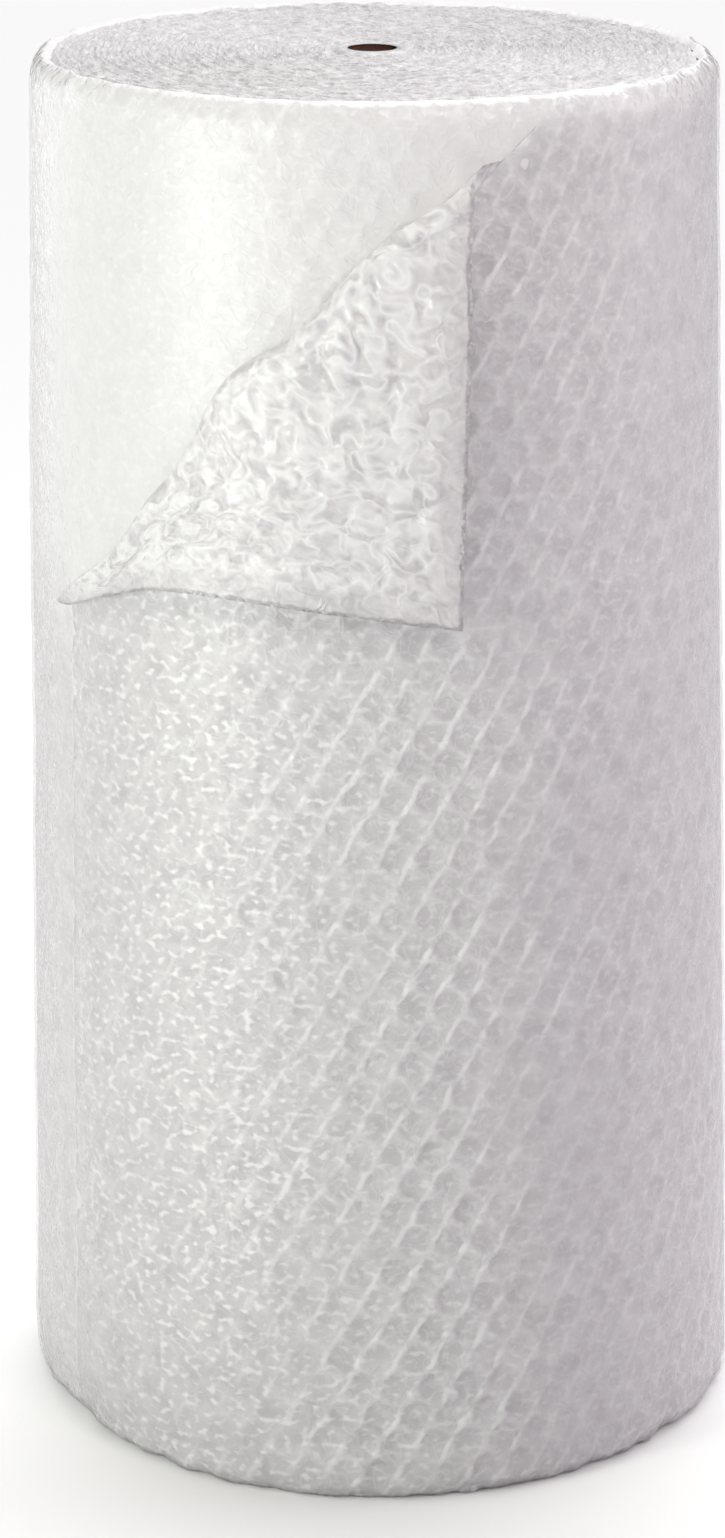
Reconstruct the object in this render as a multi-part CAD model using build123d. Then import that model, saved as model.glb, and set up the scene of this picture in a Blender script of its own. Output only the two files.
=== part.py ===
"""A large roll of bubble wrap standing on one end: a cardboard core with the bubble film wound on it.

Millimetres, +Z up. The origin is on the core's axis at the floor, and the front faces -Y.
Angles round the roll are seen from above, counter-clockwise, with 270 degrees at the front.
"""
import math
import os

from build123d import *

# Driving dimensions
ROLL_HEIGHT = 1200.0     # width of the film, so the height of the standing roll
ROLL_RADIUS = 308.0      # at the film's cut end, where the roll is widest
LAYER = 6.0              # one wound turn: film plus half-nested bubbles
CORE_BORE_RADIUS = 25.0
CORE_WALL = 4.0
SHOULDER = 14.0          # soft rounding of the outer turns at both ends

CUT_END_ANGLE = 211.5    # where the outer turn ends, left of the front
TURNED_ARC = 91.5        # how far round the roll the turned-down corner reaches
FOLD_START_HEIGHT = 752.0  # where the fold leaves the cut end; it meets the top rim at its other end

FLAP_GAP = 5.0           # the turned-down corner stands this far off the turn under it
FLAP_EDGE_ARC = 72.0     # from the cut end to the flap's upright free edge
FLAP_CORNER_DROP = 13.0  # the flap's free corner hangs this far above the start of the fold
FLAP_TOP_HEIGHT = 1120.0
FOLD_ROLL_RADIUS = 13.0  # the film turns over in a soft round fold

CORE_RADIUS = CORE_BORE_RADIUS + CORE_WALL
FOLD_MIDDLE_ANGLE = CUT_END_ANGLE + TURNED_ARC / 2
HALF_CHORD = ROLL_RADIUS * math.sin(math.radians(TURNED_ARC / 2))

# The fold and the flap are drawn on an upright plane that faces the middle of the fold.
fold_plane = Plane(
    origin=(0, 0, 0),
    x_dir=(-math.sin(math.radians(FOLD_MIDDLE_ANGLE)), math.cos(math.radians(FOLD_MIDDLE_ANGLE)), 0),
    z_dir=(math.cos(math.radians(FOLD_MIDDLE_ANGLE)), math.sin(math.radians(FOLD_MIDDLE_ANGLE)), 0),
)


def height_on_fold(across):
    """Height of the fold line at a distance across the fold plane, on a straight line to the rim."""
    share = (across + HALF_CHORD) / (2 * HALF_CHORD)
    return FOLD_START_HEIGHT + share * (ROLL_HEIGHT - FOLD_START_HEIGHT)


def spiral_face(widest):
    """One turn of a spiral drawn as four quarter arcs, closed by the step at the cut end."""
    shrink = LAYER / 4
    centres = [(shrink / 2, -shrink / 2), (shrink / 2, shrink / 2),
               (-shrink / 2, shrink / 2), (-shrink / 2, -shrink / 2)]
    edges = []
    for quarter, centre in enumerate(centres):
        radius = widest - shrink / 2 - quarter * shrink
        edges.append(CenterArc(centre, radius, 90 * quarter, 90))
    edges.append(Line(edges[-1] @ 1, edges[0] @ 0))
    return make_face(edges)


def wound_block(widest):
    """The spiral raised to the full height, with its cut end at the right angle."""
    block = extrude(spiral_face(widest), amount=ROLL_HEIGHT)
    return Rot(0, 0, CUT_END_ANGLE) * block


def rounded_envelope():
    """A round block with the soft shoulders of the outer turns."""
    block = Cylinder(ROLL_RADIUS + 0.5, ROLL_HEIGHT, align=(Align.CENTER, Align.CENTER, Align.MIN))
    return fillet(block.edges().filter_by(GeomType.CIRCLE), SHOULDER)


def prism_on_fold_plane(points):
    """An outline on the fold plane, extended outward from the roll's middle."""
    outline = fold_plane * make_face(Polyline(*points, close=True))
    return extrude(outline, amount=2 * ROLL_RADIUS)


def turned_away_layer():
    """The part of the outer turn that is no longer on the roll, because it is folded down."""
    layer = wound_block(ROLL_RADIUS + 2 * SHOULDER) - wound_block(ROLL_RADIUS - LAYER)
    reach = 2 * ROLL_RADIUS
    corners = [(0, 0)]
    for arc in (0, TURNED_ARC / 2, TURNED_ARC + 6):
        angle = math.radians(CUT_END_ANGLE + arc)
        corners.append((reach * math.cos(angle), reach * math.sin(angle)))
    sector = extrude(make_face(Polyline(*corners, close=True)), amount=ROLL_HEIGHT)
    far = HALF_CHORD + 3 * SHOULDER
    above_fold = prism_on_fold_plane([(-far, height_on_fold(-far)), (far, height_on_fold(far)),
                                      (far, 2 * ROLL_HEIGHT), (-far, 2 * ROLL_HEIGHT)])
    return layer & sector & above_fold


def fold_roll():
    """The soft round bend along the fold, up to the top of the flap."""
    radius = ROLL_RADIUS + FLAP_GAP / 2
    top_across = (FLAP_TOP_HEIGHT - FOLD_START_HEIGHT) / (ROLL_HEIGHT - FOLD_START_HEIGHT)
    top_across = -HALF_CHORD + top_across * 2 * HALF_CHORD
    points = []
    for step in range(9):
        across = -HALF_CHORD + (top_across + HALF_CHORD) * step / 8
        outward = math.sqrt(radius ** 2 - across ** 2)
        points.append(fold_plane.from_local_coords(Vector(across, height_on_fold(across), outward)))
    path = Spline(*points)
    section = Plane(origin=path @ 0, z_dir=path % 0) * Circle(FOLD_ROLL_RADIUS)
    bend = sweep(section, path=path)
    return bend + Pos(path @ 0) * Sphere(FOLD_ROLL_RADIUS) + Pos(path @ 1) * Sphere(FOLD_ROLL_RADIUS)


def turned_down_flap():
    """The folded corner of the film lying over the front of the roll."""
    inner = ROLL_RADIUS + FLAP_GAP
    ring = Cylinder(inner + LAYER, ROLL_HEIGHT, align=(Align.CENTER, Align.CENTER, Align.MIN))
    ring -= Cylinder(inner, ROLL_HEIGHT, align=(Align.CENTER, Align.CENTER, Align.MIN))
    edge_across = ROLL_RADIUS * math.sin(math.radians(FLAP_EDGE_ARC - TURNED_ARC / 2))
    outline = [(-HALF_CHORD, FOLD_START_HEIGHT),
               (edge_across, FOLD_START_HEIGHT + FLAP_CORNER_DROP),
               (edge_across, height_on_fold(edge_across))]
    return ring & prism_on_fold_plane(outline)


def bubble_wrap():
    """The whole wound film as one solid, with its top corner turned down."""
    body = wound_block(ROLL_RADIUS) & rounded_envelope()
    body -= turned_away_layer()
    body += fold_roll()
    body += turned_down_flap()
    return body - Cylinder(CORE_RADIUS, ROLL_HEIGHT, align=(Align.CENTER, Align.CENTER, Align.MIN))


def core_tube():
    """The cardboard tube, as long as the film is wide."""
    tube = Cylinder(CORE_RADIUS, ROLL_HEIGHT, align=(Align.CENTER, Align.CENTER, Align.MIN))
    return tube - Cylinder(CORE_BORE_RADIUS, ROLL_HEIGHT, align=(Align.CENTER, Align.CENTER, Align.MIN))


os.makedirs("parts", exist_ok=True)
for name, shape in (("core_tube", core_tube()), ("bubble_wrap", bubble_wrap())):
    shape.label = name
    export_step(shape, f"parts/{name}.step")
    print(name, "volume", round(shape.volume), "solids", len(shape.solids()), "valid", shape.is_valid)
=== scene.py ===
# Bubble wrap roll standing on end, with its top corner turned down over the front
import math

import bmesh
import bpy
from mathutils import Euler, Matrix, Vector, noise


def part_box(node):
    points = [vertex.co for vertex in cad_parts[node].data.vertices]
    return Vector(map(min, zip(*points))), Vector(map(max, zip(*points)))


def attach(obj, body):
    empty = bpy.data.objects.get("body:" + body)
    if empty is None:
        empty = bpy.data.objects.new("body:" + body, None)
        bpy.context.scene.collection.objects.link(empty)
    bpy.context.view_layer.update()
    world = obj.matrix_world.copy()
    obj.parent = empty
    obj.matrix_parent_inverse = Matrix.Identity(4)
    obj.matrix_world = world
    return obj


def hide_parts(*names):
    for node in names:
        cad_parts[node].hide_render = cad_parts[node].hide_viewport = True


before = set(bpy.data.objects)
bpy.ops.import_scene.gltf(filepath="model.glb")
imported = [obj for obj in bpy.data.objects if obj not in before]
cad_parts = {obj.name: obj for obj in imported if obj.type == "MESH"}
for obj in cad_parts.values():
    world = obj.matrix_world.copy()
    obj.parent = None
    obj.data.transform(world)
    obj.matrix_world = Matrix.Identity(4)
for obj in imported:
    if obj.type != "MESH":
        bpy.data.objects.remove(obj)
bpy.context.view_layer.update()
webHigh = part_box("bubble_wrap")[1]
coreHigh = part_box("core_tube")[1]
print("frame loaded")

# The roll as wound, in metres. A place on the film is (along, up): along runs to the right
# from the film's cut end, up is the height above the floor
roll = {
    "turn": 0.006,            # thickness of one wound turn
    "cutAngle": 211.5,        # where the film ends, seen from above, 270 is the front
    "shoulder": 0.020,        # the outer turns lean in over this much at both ends
    "lean": 0.011,            # and by this much
    "leanWave": 0.004,        # and unevenly by this much more
    "slack": 0.0016,          # how far the loose outer turn waves in and out
    "frill": 0.05,            # the film's edges are crinkled over this much
    "frillSlack": 0.0036,     # and wave in and out by this much
    "foot": 0.020,            # how much wider the radius is at the floor than at the top
    "askew": 0.008,           # the foot stands this far to the right of the top
    "wornSide": 215,          # the bottom edge is pressed in on this side
    "wornSpread": 26,         # over this many degrees either way
    "wornUp": 0.06,           # up to this height
    "wornBy": 0.010,          # and by this much
    "cutEndShare": 0.41,      # the cut end stands out past the solid's right side by this part of a turn
}
roll["height"] = webHigh.z
roll["radius"] = webHigh.x + roll["turn"] * roll["cutEndShare"]     # at the cut end
roll["round"] = 2 * math.pi * roll["radius"]

# The bubbles: 30 mm apart, in rows that sit half a pitch across
bubble = {"pitch": 0.030, "radius": 0.0134}
bubble["row"] = bubble["pitch"] * math.sqrt(3) / 2

# Where the outer turn is loose its bubbles stand out, elsewhere winding pressed them flat.
# middle and spread are along the film, least is the share that is left far from the middle,
# and underTurn is the share that is left on the turn below
loose = {"middle": 0.33, "spread": 0.16, "least": 0.45, "underTurn": 0.6}
# Painted highlight: white glint spots stand in for the light glinting off the crinkled film, strongest in
# this stretch round the roll
paintedGlint = {"middle": 0.17, "spread": 0.14, "least": 0.3, "underTurn": 0.7}

# The turned-down corner, as places on the film
fold = {
    "start": Vector((0.0, 0.752)),      # on the cut end
    "end": Vector((0.392, 1.121)),      # where the film's top edge turns over
    "rim": Vector((0.490, 1.2)),        # where that edge is back at the roll's rim
    "corner": Vector((0.384, 0.769)),   # the hanging corner
    "bend": (0.0045, 0.0145),           # radius of the bend at its start and end
    "drift": [(0, 0), (0.18, -0.015), (0.36, -0.006), (0.56, 0.020), (0.69, 0.007), (0.85, 0.015), (1, 0)],
    "reach": 0.07,                      # the drift of the fold fades out over this much
    "arch": 0.033,                      # rise of the lower edge
    "archUp": 0.16,                     # the rise dies out this far up the corner
    "gap": 0.016,                       # how far the hanging corner stands off
    "belly": 0.010,                     # and its middle by this much more
    "sag": 0.004,                       # and how unevenly
    "hang": 0.2,                        # it stands off by the full gap this far from the fold
    "crumple": 0.0030,                  # height of the puckers along the bend
    "groove": 0.0026,                   # depth of the crease beside the bend
    "lift": 0.002,                      # the corner lies this far over the outer turn
}


def hexColor(text, alpha=1.0):
    parts = [int(text[i:i + 2], 16) / 255 for i in (1, 3, 5)]
    return [c / 12.92 if c <= 0.04045 else ((c + 0.055) / 1.055) ** 2.4 for c in parts] + [alpha]


# A setting is a property of the node, or a value or a link for one of its sockets
def addNode(tree, kind, settings=None):
    node = tree.nodes.new(kind)
    for name, value in (settings or {}).items():
        if isinstance(name, str) and name not in node.inputs:
            setattr(node, name, value)
        elif isinstance(value, bpy.types.NodeSocket):
            tree.links.new(value, node.inputs[name])
        else:
            node.inputs[name].default_value = value
    return node


def ease(value):
    value = min(1, max(0, value))
    return value * value * (3 - 2 * value)


# A smooth random wave between -1 and 1 over the film, another one for each seed
def wave(place, perMetre, seed):
    return noise.noise(Vector((place.x * perMetre, place.y * perMetre, seed)))


# Film as a flat sheet: x along, y up, z out. One hexagonal cell is repeated over it
def bubbleCell(rings, segments):
    bm = bmesh.new()
    bmesh.ops.create_circle(bm, cap_ends=True, cap_tris=True, segments=segments, radius=rings[1][0])
    for v in bm.verts:
        v.co.z = rings[1][1] if v.co.length > 1e-5 else rings[0][1]
    edge = [e for e in bm.edges if e.is_boundary]
    for radius, height in rings[2:]:
        grown = bmesh.ops.extrude_edge_only(bm, edges=edge)["geom"]
        edge = [g for g in grown if isinstance(g, bmesh.types.BMEdge) and g.is_boundary]
        for v in [g for g in grown if isinstance(g, bmesh.types.BMVert)]:
            turn = math.atan2(v.co.y, v.co.x)
            reach = radius
            if radius > bubble["pitch"] / 2:        # the last ring fills the hexagon
                sixth = math.pi / 3
                reach = bubble["pitch"] / 2 / math.cos((turn + sixth / 2) % sixth - sixth / 2)
            v.co = (reach * math.cos(turn), reach * math.sin(turn), height)
    bmesh.ops.recalc_face_normals(bm, faces=bm.faces)
    if sum(f.normal.z for f in bm.faces) < 0:
        bmesh.ops.reverse_faces(bm, faces=bm.faces)
    return bm


def bubbleSheet(rings, low, high, segments=12):
    cell = bubbleCell(rings, segments)
    pitch, row = bubble["pitch"], bubble["row"]
    columns = math.ceil((high.x - low.x) / pitch) + 2
    rows = 2 * math.ceil((high.y - low.y) / row / 2 + 1)
    first = (math.floor(low.x / pitch) * pitch, math.floor(low.y / row / 2) * row * 2, 0)
    bmesh.ops.translate(cell, verts=cell.verts, vec=first)
    mesh = bpy.data.meshes.new("cell")
    cell.to_mesh(mesh)
    cell.free()
    carrier = bpy.data.objects.new("cell", mesh)
    bpy.context.collection.objects.link(carrier)
    for count, step in ((columns, (pitch, 0, 0)), (2, (-pitch / 2, row, 0)), (rows // 2, (0, row * 2, 0))):
        array = carrier.modifiers.new("repeat", "ARRAY")
        array.use_relative_offset = False
        array.use_constant_offset = True
        array.constant_offset_displace = step
        array.count = count
        array.use_merge_vertices = True
        array.merge_threshold = 0.0003      # well under the shortest edge
    depsgraph = bpy.context.evaluated_depsgraph_get()
    bm = bmesh.new()
    bm.from_mesh(carrier.evaluated_get(depsgraph).to_mesh())
    bpy.data.objects.remove(carrier)
    return bm


# Cuts the sheet straight through a point, and clears what lies on the side that normal points to.
# Without clear it only gives the sheet an edge there
def trim(bm, point, normal, clear=True):
    everything = bm.verts[:] + bm.edges[:] + bm.faces[:]
    bmesh.ops.bisect_plane(bm, geom=everything, plane_co=Vector((*point, 0)), plane_no=Vector((*normal, 0)),
                           clear_outer=clear, dist=0.0001)


# At right angles to the run from a to b, to its left
def across(a, b):
    run = (b - a).normalized()
    return Vector((-run.y, run.x))


# The bubble that a place belongs to, and how far it is from the bubble's middle
def cellOf(place):
    def centre(row):
        shift = 0.5 if row % 2 else 0
        column = round(place.x / bubble["pitch"] - shift)
        return Vector(((column + shift) * bubble["pitch"], row * bubble["row"])), column, row
    lower = math.floor(place.y / bubble["row"])
    middle, column, row = min(centre(lower), centre(lower + 1), key=lambda c: (c[0] - place).length)
    return column, row, (middle - place).length


def cellRandom(place, seed):
    column, row, reach = cellOf(place)
    return noise.cell(Vector((column * 1.37 + 0.5, row * 1.71 + 0.5, seed * 3.3 + 0.5))) * 2 - 1


# Strongest in one stretch round the roll, and weaker on the tight turn below
def around(place, how):
    along = (place.x + 0.5) % roll["round"] - 0.5
    middle = math.exp(-((along - how["middle"]) / how["spread"]) ** 2)
    under = how["underTurn"] if place.x > roll["round"] - 0.03 else 1
    patch = 0.9 + 0.45 * wave(place, 7, 6.0)
    return min(1, (how["least"] + (1 - how["least"]) * middle) * patch * under)


# The film is wound tightest above the corner's start, on the turn below and a little way round the back.
# Painting it whiter there is partly painted light, for the upper left where the key light falls
def tightAndPaintedLight(place):
    past = place.x - roll["round"]
    if past > 0:
        return 1
    aboveStart = 0.25 + 0.75 * ease((place.y - 0.68) / 0.14)
    return aboveStart * ease(1 + (past + 0.1) / 0.3)


# Each piece keeps its places on the flat film as a map, and how loose it is there, where it gets painted
# glints, where the web between the bubbles is, and where it is painted whiter: partly as the film is packed
# tight there, partly as painted light
def keepFlatMap(bm):
    flat = bm.loops.layers.uv.new("film")
    slackness = bm.verts.layers.float.new("loose")
    paintedGlints = bm.verts.layers.float.new("paintedGlint")
    web = bm.verts.layers.float.new("web")
    packedAndPaintedLight = bm.verts.layers.float.new("packedAndPaintedLight")
    for v in bm.verts:
        place = v.co.xy
        fromTop = roll["height"] - place.y
        frill = ease(1 - min(place.y, fromTop) / roll["frill"])
        fromMiddle = cellOf(place)[2]
        v[slackness] = max(around(place, loose), frill)
        # painted highlight: glint spots, also along the crinkled edges
        v[paintedGlints] = max(around(place, paintedGlint), frill * 0.7)
        # painted light: whiter where packed tight, and the top 45 mm painted whiter as if more lit
        v[packedAndPaintedLight] = max(tightAndPaintedLight(place), ease(1 - fromTop / 0.045))
        v[web] = ease((fromMiddle - bubble["radius"] * 0.8) / (bubble["pitch"] * 0.2))
        for loop in v.link_loops:
            loop[flat].uv = place


# The roll has settled: it is wider at the foot, which is a little askew
def settle(angle, radius, up):
    share = up / roll["height"]
    radius *= 1 + roll["foot"] * (0.5 - share) / roll["radius"]
    askew = roll["askew"] * (1 - share) * radius / roll["radius"]
    return Vector((radius * math.cos(angle) + askew, radius * math.sin(angle), up))


# From the flat film to the roll
def windOn(place, out):
    along, up = place
    end = min(up, roll["height"] - up)
    angle = math.radians(roll["cutAngle"]) + along / roll["radius"]
    spiral = roll["radius"] - roll["turn"] * along / roll["round"]
    turned = (math.degrees(angle) - roll["wornSide"] + 180) % 360 - 180
    lean = roll["wornBy"] * math.exp(-(turned / roll["wornSpread"]) ** 2) * ease(1 - up / roll["wornUp"])
    if end < roll["shoulder"]:
        near = 1 - end / roll["shoulder"]
        lean += roll["lean"] * (1 - math.sqrt(max(0, 1 - near * near * 0.96)))
        lean += roll["leanWave"] * near * (0.4 + wave(place, 42, 4.0))
    slack = roll["slack"] * (wave(place, 4, 1.7) + 0.5 * wave(place, 11, 8.1))
    slack += roll["frillSlack"] * ease(1 - end / roll["frill"]) * wave(place, 60, 2.2)
    return settle(angle, spiral + slack - lean + out, up)


def finishPiece(bm, name, material):
    mesh = bpy.data.meshes.new(name)
    bm.to_mesh(mesh)
    bm.free()
    mesh.materials.append(material)
    for polygon in mesh.polygons:
        polygon.use_smooth = True
    piece = bpy.data.objects.new(name, mesh)
    bpy.context.collection.objects.link(piece)
    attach(piece, "root")
    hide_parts("bubble_wrap")
    print(name, len(mesh.polygons), "faces")


def principled(name):
    material = bpy.data.materials.new(name)
    material.use_nodes = True
    tree = material.node_tree
    return material, tree, tree.nodes["Principled BSDF"]


# Thin bright lines where a swirled noise passes its middle value: creases in the film run whiter, and on the
# turned-down corner they are partly a painted highlight for its bubbles' bright crescents
def creaseLines(tree, where, millimetres, width, swirl):
    field = addNode(tree, "ShaderNodeTexNoise", {
        "Scale": 1000 / millimetres, "Detail": 1.0, "Roughness": 0.4, "Distortion": swirl, "Vector": where})
    line = addNode(tree, "ShaderNodeValToRGB", {"Fac": field.outputs["Fac"]})
    line.color_ramp.elements[0].position = 0.5 - width
    line.color_ramp.elements[0].color = hexColor("#000000")
    line.color_ramp.elements[1].position = 0.5 + width
    line.color_ramp.elements[1].color = hexColor("#000000")
    line.color_ramp.elements.new(0.5).color = hexColor("#ffffff")
    return line.outputs["Color"]


# Painted highlight: broken white stripes along the slanting rows of bubbles, where the light from the upper
# left catches them
def paintedRowHighlights(tree, where):
    turned = addNode(tree, "ShaderNodeMapping", {"Rotation": (0, 0, math.radians(30)), "Vector": where})
    stripe = addNode(tree, "ShaderNodeTexWave", {
        "Scale": math.pi / 10 / bubble["row"], "Distortion": 1.3, "Detail": 2.0, "Detail Scale": 3.0,
        "Vector": turned.outputs["Vector"]})
    narrow = addNode(tree, "ShaderNodeValToRGB", {"Fac": stripe.outputs["Fac"]})
    narrow.color_ramp.elements[0].position = 0.88
    beads = addNode(tree, "ShaderNodeTexNoise", {"Scale": 60.0, "Detail": 1.0, "Vector": where})
    broken = addNode(tree, "ShaderNodeMapRange", {
        "Value": beads.outputs["Fac"], "From Min": 0.42, "From Max": 0.58, "To Min": 0.2})
    return times(tree, narrow.outputs["Color"], broken.outputs["Result"])


# Painted highlight: soft white glint spots, wider than high, where a noise passes a level
def paintedGlintSpots(tree, where, millimetres, level):
    flat = addNode(tree, "ShaderNodeMapping", {"Scale": (0.72, 1.0, 1.0), "Vector": where})
    field = addNode(tree, "ShaderNodeTexNoise", {
        "Scale": 1000 / millimetres, "Detail": 0.6, "Roughness": 0.5, "Vector": flat.outputs["Vector"]})
    spot = addNode(tree, "ShaderNodeValToRGB", {"Fac": field.outputs["Fac"]})
    spot.color_ramp.elements[0].position = level
    spot.color_ramp.elements[1].position = level + 0.19
    return spot.outputs["Color"]


def attribute(tree, name):
    return addNode(tree, "ShaderNodeAttribute", {"attribute_name": name}).outputs["Fac"]


def blend(tree, share, first, second):
    return addNode(tree, "ShaderNodeMix", {"data_type": "RGBA", 0: share, 6: first, 7: second}).outputs[2]


def times(tree, first, second):
    product = addNode(tree, "ShaderNodeMath", {
        "operation": "MULTIPLY", "use_clamp": True, 0: first, 1: second})
    return product.outputs[0]


# Low-density polyethylene film, blown and vacuum-formed. Each layer is clear, but many of them
# scatter the light, so it looks milky, with whiter creases. Painted light goes on top: paler webs that leave
# the hollows looking shaded, white row stripes and glint spots, and whiter packed and rim parts
def milkyFilm(name, look):
    material, tree, shader = principled(name)
    white = hexColor("#ffffff")
    if look["sheet"]:
        where = addNode(tree, "ShaderNodeUVMap", {"uv_map": "film"}).outputs["UV"]
        slackness = attribute(tree, "loose")
    else:
        where = addNode(tree, "ShaderNodeTexCoord").outputs["Object"]
        slackness = 1.0
    mottle = addNode(tree, "ShaderNodeTexNoise", {
        "Scale": 1000 / look["mottle"], "Detail": 5.0, "Roughness": 0.6, "Distortion": look["swirl"],
        "Vector": where})
    tint = addNode(tree, "ShaderNodeValToRGB", {"Fac": mottle.outputs["Fac"]})
    tint.color_ramp.elements[0].position = look["range"][0]
    tint.color_ramp.elements[0].color = hexColor(look["dark"])
    tint.color_ramp.elements[1].position = look["range"][1]
    tint.color_ramp.elements[1].color = hexColor(look["light"])
    crease = creaseLines(tree, where, look["crease"], look["width"], 0.8)
    height = crease
    color = tint.outputs["Color"]
    # whiter: partly the film packed tight, partly painted light on the upper left and the top edge
    if look["packedAndPaintedLight"]:
        color = blend(tree, times(tree, attribute(tree, "packedAndPaintedLight"), look["packedAndPaintedLight"]), color, white)
    if look["rimScatterAndHighlight"]:      # the outer turns stand a little apart and scatter more light, and the rim's highlight is painted into them as whiter patches
        first, last = look["rimScatterAndHighlight"]
        onEnd = addNode(tree, "ShaderNodeVectorMath", {"operation": "MULTIPLY", 0: where, 1: (1, 1, 0)})
        radius = addNode(tree, "ShaderNodeVectorMath", {"operation": "LENGTH", 0: onEnd.outputs[0]})
        paintedRimShare = addNode(tree, "ShaderNodeMapRange", {
            "Value": radius.outputs["Value"], "From Min": first, "From Max": last})
        paintedRimPatches = times(tree, paintedRimShare.outputs["Result"], times(tree, mottle.outputs["Fac"], 1.5))
        color = blend(tree, paintedRimPatches, color, white)
    color = blend(tree, times(tree, crease, times(tree, slackness, look["creaseShare"])), color, white)
    if look["rows"]:
        patches = addNode(tree, "ShaderNodeTexNoise", {"Scale": 24.0, "Detail": 3.0, "Vector": where})
        patch = patches.outputs["Fac"]
        # painted light: the web between the bubbles is painted paler, which leaves the hollows looking shaded
        web = times(tree, times(tree, attribute(tree, "web"), patch), slackness)
        color = blend(tree, times(tree, web, look["web"]), color, white)
        # painted highlight: white stripes along the rows of bubbles
        loosest = times(tree, slackness, slackness)
        paintedRowLight = times(tree, paintedRowHighlights(tree, where), times(tree, patch, loosest))
        color = blend(tree, times(tree, paintedRowLight, look["rows"]), color, white)
    if look["paintedGlints"]:
        # painted highlight: white glint spots where the film would catch the light
        soft = paintedGlintSpots(tree, where, look["spot"], look["level"])
        paintedSpots = times(tree, soft, attribute(tree, "paintedGlint"))
        color = blend(tree, times(tree, paintedSpots, look["paintedGlints"]), color, white)
        height = addNode(tree, "ShaderNodeMath", {"operation": "ADD", 0: crease, 1: paintedSpots}).outputs[0]
    tree.links.new(color, shader.inputs["Base Color"])
    bump = addNode(tree, "ShaderNodeBump", {"Strength": look["bump"], "Distance": 0.001, "Height": height})
    tree.links.new(bump.outputs["Normal"], shader.inputs["Normal"])
    shader.inputs["Roughness"].default_value = look["roughness"]
    shader.inputs["IOR"].default_value = 1.51
    return material


# The same film as one layer: see-through, with a sharp gloss on every pillow and crease
def clearFilmMaterial(name, look):
    material, tree, shader = principled(name)
    tree.nodes.remove(shader)
    where = addNode(tree, "ShaderNodeUVMap", {"uv_map": "film"}).outputs["UV"]
    slackness = attribute(tree, "loose")
    wrinkle = addNode(tree, "ShaderNodeTexNoise", {
        "Scale": 1000 / look["wrinkle"], "Detail": 3.0, "Distortion": 0.7, "Vector": where})
    bump = addNode(tree, "ShaderNodeBump", {
        "Strength": look["bump"], "Distance": look["height"],
        "Height": times(tree, wrinkle.outputs["Fac"], slackness)}).outputs["Normal"]
    clear = addNode(tree, "ShaderNodeBsdfTransparent", {"Color": hexColor("#ffffff")})
    tight, slack = look["roughness"]        # pressed flat on many turns the gloss is broad
    broad = addNode(tree, "ShaderNodeMapRange", {"Value": slackness, "To Min": tight, "To Max": slack})
    gloss = addNode(tree, "ShaderNodeBsdfGlossy", {
        "Color": hexColor("#ffffff"), "Roughness": broad.outputs["Result"], "Normal": bump})
    facing = addNode(tree, "ShaderNodeFresnel", {"IOR": look["gloss"], "Normal": bump})
    outside = addNode(tree, "ShaderNodeNewGeometry")
    share = addNode(tree, "ShaderNodeMath", {
        "operation": "SUBTRACT", "use_clamp": True,
        0: facing.outputs["Fac"], 1: outside.outputs["Backfacing"]})
    film = addNode(tree, "ShaderNodeMixShader", {
        0: share.outputs[0], 1: clear.outputs[0], 2: gloss.outputs[0]})
    tree.links.new(film.outputs[0], tree.nodes["Material Output"].inputs["Surface"])
    return material


# Core board: brown kraft paper wound in a spiral and glued, so it is matt, with slanting ply seams
def coreBoardMaterial():
    ply = 0.11          # width of one paper ply
    gap = 0.0015        # width of the seam between two plies
    material, tree, shader = principled("kraft core board, spiral wound")
    where = addNode(tree, "ShaderNodeTexCoord").outputs["Object"]
    axis = addNode(tree, "ShaderNodeSeparateXYZ", {"Vector": where})
    turn = addNode(tree, "ShaderNodeMath", {
        "operation": "ARCTAN2", 0: axis.outputs["Y"], 1: axis.outputs["X"]})
    lead = addNode(tree, "ShaderNodeMath", {
        "operation": "MULTIPLY_ADD", 0: turn.outputs[0], 1: ply / (2 * math.pi), 2: axis.outputs["Z"]})
    strip = addNode(tree, "ShaderNodeMath", {"operation": "WRAP", 0: lead.outputs[0], 1: ply, 2: 0.0})
    seam = addNode(tree, "ShaderNodeMath", {"operation": "LESS_THAN", 0: strip.outputs[0], 1: gap})
    fibre = addNode(tree, "ShaderNodeTexNoise", {"Scale": 300.0, "Detail": 3.0, "Vector": where})
    tint = addNode(tree, "ShaderNodeValToRGB", {"Fac": fibre.outputs["Fac"]})
    tint.color_ramp.elements[0].color = hexColor("#5d4036")
    tint.color_ramp.elements[1].color = hexColor("#8d6a5a")
    color = blend(tree, seam.outputs[0], tint.outputs["Color"], hexColor("#3f2a22"))
    tree.links.new(color, shader.inputs["Base Color"])
    shader.inputs["Roughness"].default_value = 0.85
    return material


# mottle, crease, spot and wrinkle are sizes in millimetres, spot being the painted glints' size, and the row,
# web, packing and glint strengths say how strongly each of those shows: the row stripes, web and glints are
# painted light, the packed whitening partly so
woundFilm = milkyFilm("polyethylene film, many turns", {
    "sheet": True, "dark": "#cdcacd", "light": "#e0dee0", "range": (0.32, 0.66), "mottle": 28, "swirl": 0,
    "crease": 14, "width": 0.08, "creaseShare": 0.25, "packedAndPaintedLight": 0.66, "rimScatterAndHighlight": None,
    "rows": 1.8, "web": 0.6, "paintedGlints": 1.1, "spot": 6, "level": 0.53, "bump": 0.3, "roughness": 0.45})
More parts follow.
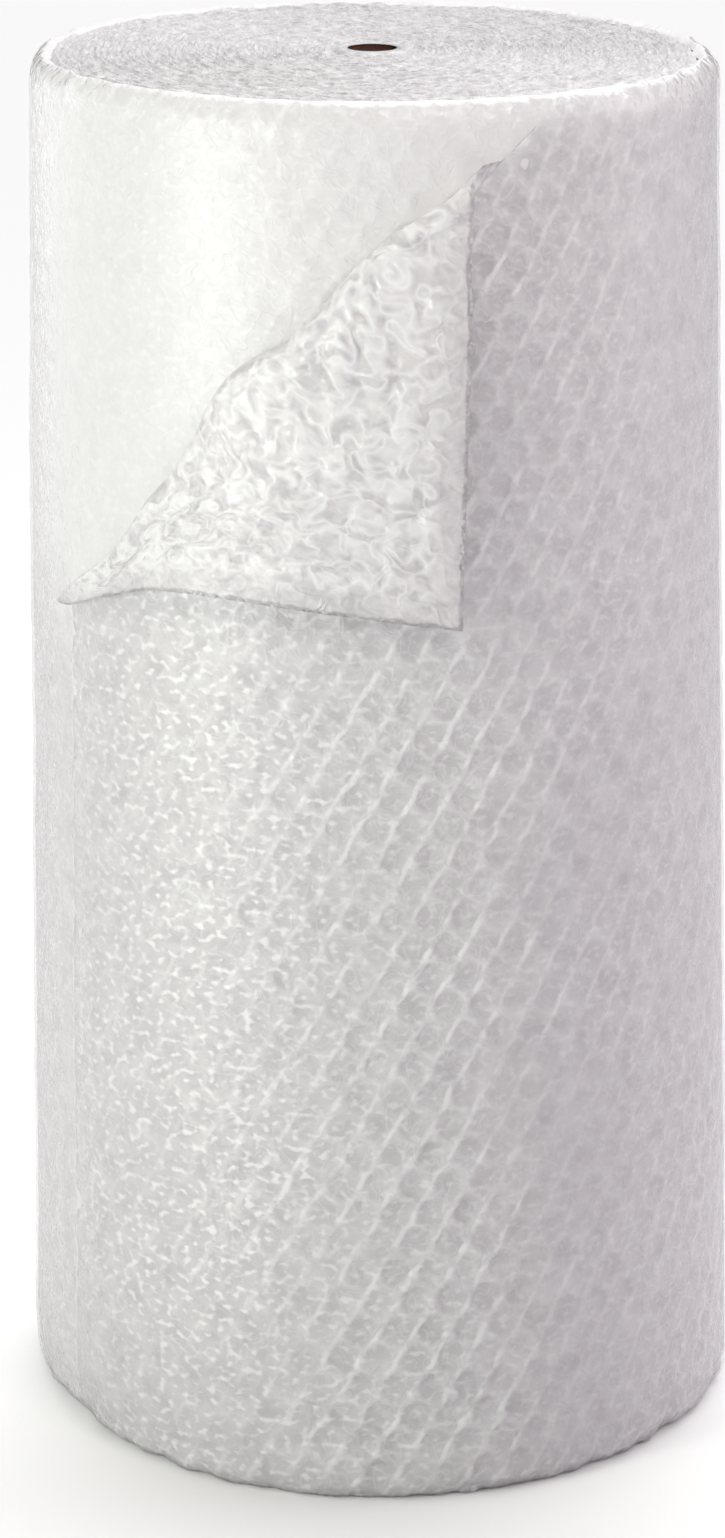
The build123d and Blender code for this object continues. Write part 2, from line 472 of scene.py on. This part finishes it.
# Paler than the wound film, with swirled white creases: partly whitened creases, partly painted light, as the
# corner hangs in shade and its bubbles' crescents shine
cornerFilm = milkyFilm("polyethylene film, crumpled corner", {
    "sheet": True, "dark": "#d3d0d4", "light": "#ebe9e9", "range": (0.36, 0.62), "mottle": 14, "swirl": 0.9,
    "crease": 19, "width": 0.15, "creaseShare": 0.95, "packedAndPaintedLight": 0, "rimScatterAndHighlight": None,
    "rows": 0, "paintedGlints": 0, "bump": 0.8, "roughness": 0.34})
# Darker than the wall's film: partly the cut edges of many turns, partly painted shade on the end face
endFilm = milkyFilm("polyethylene film, wound edges", {
    "sheet": False, "dark": "#b9b6ba", "light": "#e6e4e6", "range": (0.32, 0.66), "mottle": 9, "swirl": 0,
    "crease": 11, "width": 0.09, "creaseShare": 0.45, "packedAndPaintedLight": 0, "rimScatterAndHighlight": (0.262, 0.297),
    "rows": 0, "paintedGlints": 0, "bump": 0.5, "roughness": 0.4})
clearFilm = clearFilmMaterial("polyethylene film, single", {
    "wrinkle": 10, "bump": 1.0, "height": 0.0036, "roughness": (0.5, 0.18), "gloss": 1.52})
domeFilm = clearFilmMaterial("polyethylene film, bubbles", {
    "wrinkle": 12, "bump": 1.0, "height": 0.006, "roughness": (0.40, 0.22), "gloss": 1.6})
coreBoard = coreBoardMaterial()
print("materials ready")

# The wound turns under the outer one, with one low ridge for each turn at the top end
wound = {
    "steps": 480,           # faces round the roll
    "clear": 1.9,           # the outermost is this many turns inside the outer turn
    "dip": 0.0030,          # depth between two ridges
    "sway": 0.0022,         # how far the ridges wander
    "rise": 0.0026,         # and rise and fall
    "lip": 0.0222,          # the first turn laps over the core's end, down to this radius
    "drop": 0.014,          # the outer ridges lie lower, under the shoulder
    "dropReach": 0.016,     # over this much
    "skin": 0.0004,         # keeps the ends off the core and the floor
}


def woundTurns():
    bm = bmesh.new()
    turn, height, skin = roll["turn"], roll["height"], wound["skin"]
    widest = roll["radius"] - turn * wound["clear"]
    count = int((widest - coreHigh.x) / turn)
    inner = widest - count * turn
    top = [(wound["lip"], height + 0.0006), (inner, height + skin)]
    for k in range(count):
        r = inner + k * turn
        if k:
            top.append((r, height - wound["dip"]))
        top += [(r + turn * 0.35, height), (r + turn * 0.65, height)]
    top.append((widest, height - 0.001))
    top = [(r, z - wound["drop"] * ease((r - widest) / wound["dropReach"] + 1)) for r, z in top]
    bottom = [(widest, 0.05), (widest - 0.013, 0.004), (widest - 0.016, skin), (inner + turn, skin)]
    inside = [(inner, wound["dip"]), (inner, height + 0.0001), (wound["lip"], height + 0.0003)]
    verts = [bm.verts.new((r, 0, z)) for r, z in top + bottom + inside]
    edges = [bm.edges.new((a, b)) for a, b in zip(verts, verts[1:] + verts[:1])]
    bmesh.ops.spin(bm, geom=verts + edges, cent=(0, 0, 0), axis=(0, 0, 1), angle=2 * math.pi,
                   steps=wound["steps"], use_merge=True)
    bmesh.ops.remove_doubles(bm, verts=bm.verts, dist=1e-5)
    bmesh.ops.recalc_face_normals(bm, faces=bm.faces)
    for v in bm.verts:
        r = math.hypot(v.co.x, v.co.y)
        onTop = v.co.z >= height * 0.5 and r >= inner + turn * 0.2
        if onTop:           # each ridge has its own rise and fall
            ring = round((r - inner) / turn - 0.5)
            edge = Vector((v.co.x, v.co.y))
            v.co.z += wound["rise"] * (wave(edge, 70, ring * 0.6) + 0.7 * wave(edge, 24, ring * 0.15)) - 0.001
            if r < widest - turn * 0.2:
                r += wound["sway"] * wave(edge, 55, 9 + ring * 0.5)
        v.co = settle(math.atan2(v.co.y, v.co.x), r, v.co.z)
    finishPiece(bm, "wound_turns", endFilm)


woundTurns()

# The outer turn: a milky layer with the hollows of its bubbles, and the clear flat film over it.
# It is made in two parts that meet between two columns of bubbles at the back
outer = {
    "pocket": 0.0023,         # depth of the hollows
    "pillow": 0.0019,         # how far the clear film swells over each bubble
    "filmLift": 0.0018,       # and lies over the milky layer
    "overlap": 0.05,          # spare film on both sides of the seam at the back, cut off again
    "barePast": 0.53,         # what the turned-down corner leaves bare of the turn below
    "bareFrom": 0.70,
    "hemCut": 0.95,           # the layer's edges reach in this many turns along the cuts
    "hemEnds": 2.2,           # and at both ends
    "hemRise": 0.003,         # and this far up at the floor
    "hemDrop": 0.006,         # and down at the top
    "pressedRim": 0.0042,     # the film lies this much tighter where it meets the rim beside the fold
    "pressedCut": 0.0044,     # and along the cut end
}
halfColumns = round(roll["round"] / 2 / bubble["pitch"])

# Each ring is (radius, height), from the middle of a bubble to the edge of its cell
pocket, pillow, wide = outer["pocket"], outer["pillow"], bubble["radius"]
pocketRings = [(0, -pocket), (wide * 0.5, -pocket * 0.93), (wide * 0.82, -pocket * 0.55), (wide, 0),
               (bubble["pitch"], 0)]
pillowRings = [(0, pillow), (wide * 0.55, pillow * 0.82), (wide * 0.92, pillow * 0.28),
               (wide * 1.06, -0.0002), (bubble["pitch"], -0.0005)]


# How far the real fold wanders from the straight line between its ends
def foldDrift(place):
    run = fold["end"] - fold["start"]
    side = across(fold["start"], fold["end"])
    share = (place - fold["start"]).dot(run) / run.length_squared
    past = abs((place - fold["start"]).dot(side))
    if not 0 < share < 1 or past > fold["reach"]:
        return Vector((0, 0))
    for (a, low), (b, high) in zip(fold["drift"], fold["drift"][1:]):
        if a <= share <= b:
            drift = low + (high - low) * ease((share - a) / (b - a))
    return side * drift * ease(1 - past / fold["reach"])


def keepPart(bm, front):
    gone = []
    for f in bm.faces:
        centre = f.calc_center_median().xy
        beyond = cellOf(centre)[0] >= halfColumns
        hidden = centre.x > roll["round"] + bubble["pitch"] and centre.y < outer["bareFrom"]
        if beyond == front or hidden:
            gone.append(f)
    bmesh.ops.delete(bm, geom=gone, context="FACES")


# The layer's own thickness along its edges, but not at the seam
def addHem(bm):
    def onSeam(edge):
        foot = edge.verts[0].co
        return abs(foot.x - roll["round"] / 2) <= outer["overlap"] and foot.y not in (0, roll["height"])
    edges = [e for e in bm.edges if e.is_boundary and not onSeam(e)]
    grown = bmesh.ops.extrude_edge_only(bm, edges=edges)["geom"]
    return {g for g in grown if isinstance(g, bmesh.types.BMVert)}


def outerTurn(name, rings, front, material, lift):
    seam = roll["round"] / 2
    if front:
        low, high = Vector((0, 0)), Vector((seam + outer["overlap"], roll["height"]))
    else:
        low = Vector((seam - outer["overlap"], 0))
        high = Vector((roll["round"] + outer["barePast"], roll["height"]))
    slant = across(fold["end"], fold["rim"])
    bm = bubbleSheet(rings, low, high)
    trim(bm, (0, 0), (0, -1))
    trim(bm, (0, high.y), (0, 1))
    if front:
        trim(bm, (0, 0), (-1, 0))
        trim(bm, fold["start"], across(fold["start"], fold["end"]))
        trim(bm, fold["end"], slant)
    keepPart(bm, front)
    keepFlatMap(bm)
    hem = addHem(bm) if material == woundFilm else set()
    for v in bm.verts:
        place = v.co.xy
        end = min(place.y, roll["height"] - place.y)
        calm = around(place, loose) * ease(end / 0.02) * (1 + 0.2 * cellRandom(place, 2))
        out = v.co.z * calm + lift + 0.0007 * wave(place, 45, 3.0)
        if v in hem and end < 0.001:
            out = -roll["turn"] * outer["hemEnds"]
            place.y += outer["hemRise"] if place.y < 0.001 else -outer["hemDrop"]
        elif v in hem:
            out = -roll["turn"] * outer["hemCut"]
        elif front:
            gap = max(0, (fold["rim"] - place).dot(slant))
            if place.x > fold["end"].x - 0.02:
                out -= outer["pressedRim"] * ease(1 - gap / 0.06)
            out -= outer["pressedCut"] * ease(1 - place.x / 0.05)
        if front:
            place = place + foldDrift(place)
        v.co = windOn(place, out)
    finishPiece(bm, name, material)


for side, front in (("front", True), ("back", False)):
    outerTurn("turn_" + side, pocketRings, front, woundFilm, 0)
    outerTurn("film_" + side, pillowRings, front, clearFilm, outer["filmLift"])
print("outer turn wound")

# The turned-down corner: its flat film behind, and the bubbles standing out from it
corner = {
    "dome": 0.0062,         # height of a bubble
    "seat": 0.42,           # share of it that the milky film takes
    "thickness": 0.0008,
    "trough": 0.0006,       # the milky film lies this far under the clear bubbles
    "margin": 0.028,        # a plain sealed strip along the free edges
    "segments": 24,
    "bends": 8,             # edges round the bend
    "clearBend": 0.3,       # the clear bubbles go this far round it, in radians
    "spare": 0.6,           # half the size of the sheet it is cut from
}


# From the flat corner to the roll: round the bend, then hanging over the outer turn
def foldPlace(place, dome):
    run = fold["end"] - fold["start"]
    side = across(fold["start"], fold["end"])
    rel = place - fold["start"]
    share = min(1, max(0, rel.dot(run) / run.length_squared))
    past = rel.dot(side)
    radius = fold["bend"][0] + (fold["bend"][1] - fold["bend"][0]) * share
    pucker = noise.noise(Vector((share * 14, past * 120, 7.0)))
    dome *= 0.3 + 0.7 * share         # the bend is tight at its start
    dome += fold["crumple"] * ease(1 + past / 0.03) * pucker * share
    dome -= fold["groove"] * math.exp(-((past + 0.004) / 0.004) ** 2) * share
    if past > 0:
        turn = min(math.pi, past / radius)
        shift = (radius + dome) * math.sin(turn) - past
        out = radius + (radius + dome) * math.cos(turn)
    else:
        shift = 0
        hang = min(1, -past / fold["hang"])
        out = 2 * radius * (1 - hang) + fold["gap"] * hang
        out += fold["belly"] * math.sin(math.pi * hang) * share
        out += fold["sag"] * wave(place, 11, 5.0) * hang + dome
        low = max(0, place.x) / fold["corner"].x
        above = place.y - (fold["start"].y + (fold["corner"].y - fold["start"].y) * low)
        lift = fold["arch"] * math.sin(math.pi * min(1, low) ** 0.75) * ease(1 - above / fold["archUp"])
        place = place + Vector((0, lift * ease(-past / 0.045)))
    spot = place + side * shift
    return windOn(spot + foldDrift(spot), out + fold["lift"])


def turnedCorner(name, rings, material, thickness, trough, wrap):
    spare = Vector((corner["spare"], corner["spare"]))
    bm = bubbleSheet(rings, -spare, spare, corner["segments"])
    for v in bm.verts:
        place = v.co.xy
        v.co.z *= 0.72 + 0.28 * cellRandom(place, 5) + 0.5 * wave(place, 75, 1.0)
    run = fold["end"] - fold["start"]
    turned = Matrix.Rotation(2 * math.atan2(run.y, run.x), 3, "Z")      # the rows run as on folded film
    bmesh.ops.rotate(bm, verts=bm.verts, cent=(0, 0, 0), matrix=turned)
    bmesh.ops.translate(bm, verts=bm.verts, vec=(fold["end"].x - 0.1, fold["end"].y - 0.15, 0))
    side = across(fold["start"], fold["end"])
    for k in range(corner["bends"] + 1):        # edges along the bend, so that it is round
        turn = wrap * k / corner["bends"]
        bent = [end + side * turn * radius for end, radius in zip((fold["start"], fold["end"]), fold["bend"])]
        trim(bm, bent[0], across(*bent), k == corner["bends"])
    lowEdge = across(fold["start"], fold["corner"])
    rightEdge = across(fold["corner"], fold["end"])
    trim(bm, fold["start"], -lowEdge)
    trim(bm, fold["corner"], -rightEdge)
    trim(bm, fold["start"], (-1, 0))
    lower = set()
    if thickness:
        grown = bmesh.ops.extrude_face_region(bm, geom=bm.faces[:], use_keep_orig=True)["geom"]
        lower = {g for g in grown if isinstance(g, bmesh.types.BMVert)}
        bmesh.ops.translate(bm, verts=list(lower), vec=(0, 0, -thickness))
        bmesh.ops.recalc_face_normals(bm, faces=bm.faces)
    keepFlatMap(bm)
    slackness = bm.verts.layers.float["loose"]
    for v in bm.verts:
        place = v.co.xy
        below = thickness if v in lower else 0
        fromEdge = min((place - fold["corner"]).dot(rightEdge), (place - fold["start"]).dot(lowEdge))
        loosened = ease(fromEdge / corner["margin"] - 0.15)
        v[slackness] = loosened
        dome = (v.co.z + below) * loosened
        dome += 0.0022 * wave(place, 32, 3.0) * loosened + 0.0011 * wave(place, 85, 8.0) * loosened
        v.co = foldPlace(place, dome - trough - below)
    finishPiece(bm, name, material)


tall = corner["dome"]
domeRings = [(0, tall), (wide * 0.35, tall * 0.97), (wide * 0.62, tall * 0.84), (wide * 0.84, tall * 0.58),
             (wide * 0.97, tall * 0.26), (wide * 1.02, 0.0002), (bubble["pitch"], 0.0002)]
seatRings = [(radius, height * corner["seat"]) for radius, height in domeRings]
turnedCorner("turned_down_corner", seatRings, cornerFilm, corner["thickness"], corner["trough"], math.pi)
turnedCorner("corner_bubbles", domeRings, domeFilm, 0, 0, corner["clearBend"])
print("corner turned down")

# The core stays as built and gets its board
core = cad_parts["core_tube"]
core.data.materials.clear()
core.data.materials.append(coreBoard)

# Floor, light and camera. The floor looks paler than the light it throws back at the roll
studio = {
    "world": 0.25,                      # soft light from all round
    "ceiling": 2.4,
    "ceilingFrom": (0.13, 0.52, 0.85),  # a little from behind on the right, so the shadow falls forward
    "ceilingSpread": 66,
    "floorSeen": "#fafafa",
    "floorBounce": "#d4d2d4",
    "sweep": 0.09,                      # the floor's own glow, seen by the camera only
    "floorSize": 30,
}
floorMesh = bpy.data.meshes.new("floor")
bm = bmesh.new()
bmesh.ops.create_grid(bm, x_segments=1, y_segments=1, size=studio["floorSize"])
bm.to_mesh(floorMesh)
bm.free()
floor = bpy.data.objects.new("floor", floorMesh)
bpy.context.collection.objects.link(floor)
floorMaterial, tree, shader = principled("pale studio floor")
ray = addNode(tree, "ShaderNodeLightPath")
seen, bounce = hexColor(studio["floorSeen"]), hexColor(studio["floorBounce"])
tree.links.new(blend(tree, ray.outputs["Is Camera Ray"], bounce, seen), shader.inputs["Base Color"])
shader.inputs["Roughness"].default_value = 0.9
shader.inputs["Specular IOR Level"].default_value = 0.0
shader.inputs["Emission Color"].default_value = hexColor("#ffffff")
tree.links.new(times(tree, ray.outputs["Is Camera Ray"], studio["sweep"]), shader.inputs["Emission Strength"])
floorMesh.materials.append(floorMaterial)

world = bpy.data.worlds.new("studio")
bpy.context.scene.world = world
world.use_nodes = True
tree = world.node_tree
ray = addNode(tree, "ShaderNodeLightPath")
soft = addNode(tree, "ShaderNodeBackground", {"Color": hexColor("#fffbff"), "Strength": studio["world"]})
backdrop = addNode(tree, "ShaderNodeBackground", {"Color": hexColor("#ffffff"), "Strength": 1.0})
mixed = addNode(tree, "ShaderNodeMixShader", {
    0: ray.outputs["Is Camera Ray"], 1: soft.outputs[0], 2: backdrop.outputs[0]})
tree.links.new(mixed.outputs[0], tree.nodes["World Output"].inputs["Surface"])


def softbox(name, azimuth, elevation, distance, size, power, color):
    data = bpy.data.lights.new(name, "AREA")
    data.shape = "RECTANGLE"
    data.size, data.size_y = size
    data.energy = power
    data.color = hexColor(color)[:3]
    lamp = bpy.data.objects.new(name, data)
    bpy.context.collection.objects.link(lamp)
    a, e = math.radians(azimuth), math.radians(elevation)
    back = Vector((math.sin(a) * math.cos(e), -math.cos(a) * math.cos(e), math.sin(e)))
    lamp.location = Vector((0, 0, roll["height"] / 2)) + back * distance
    lamp.rotation_euler = back.to_track_quat("Z", "Y").to_euler()


# Azimuth, elevation, distance, size, watts and colour
softbox("key", -50, 4, 2.6, (0.42, 1.5), 23, "#f8fff4")
softbox("high", -50, 50, 2.6, (0.5, 0.5), 5, "#fffbe6")
softbox("front", 26, 42, 2.1, (0.6, 0.6), 7, "#fff8f6")
softbox("left", -122, 10, 3.2, (1.4, 1.5), 10, "#fbfdff")
softbox("right", 90, 18, 3.2, (1.5, 1.5), 15.5, "#fff4f9")

sun = bpy.data.objects.new("ceiling", bpy.data.lights.new("ceiling", "SUN"))
sun.data.energy = studio["ceiling"]
sun.data.angle = math.radians(studio["ceilingSpread"])
sun.rotation_euler = Vector(studio["ceilingFrom"]).to_track_quat("Z", "Y").to_euler()
bpy.context.collection.objects.link(sun)

view = {
    "lens": 106.31,
    "shift": -0.26,
    "place": (0.008, -3.872, 1.793),
    "down": 12.75,              # it looks down by this many degrees
    "left": 0.24,
    "tilt": 0.038,
}
camera = bpy.data.objects.new("camera", bpy.data.cameras.new("camera"))
bpy.context.collection.objects.link(camera)
camera.data.sensor_width = 36
camera.data.lens = view["lens"]
camera.data.shift_y = view["shift"]
camera.data.clip_end = 100
camera.location = view["place"]
aim = Euler((math.radians(90 - view["down"]), 0, math.radians(view["left"]))).to_matrix()
camera.rotation_euler = (aim @ Matrix.Rotation(math.radians(view["tilt"]), 3, "Z")).to_euler()
bpy.context.scene.camera = camera
bpy.context.scene.view_settings.view_transform = "Standard"
print("stage set")
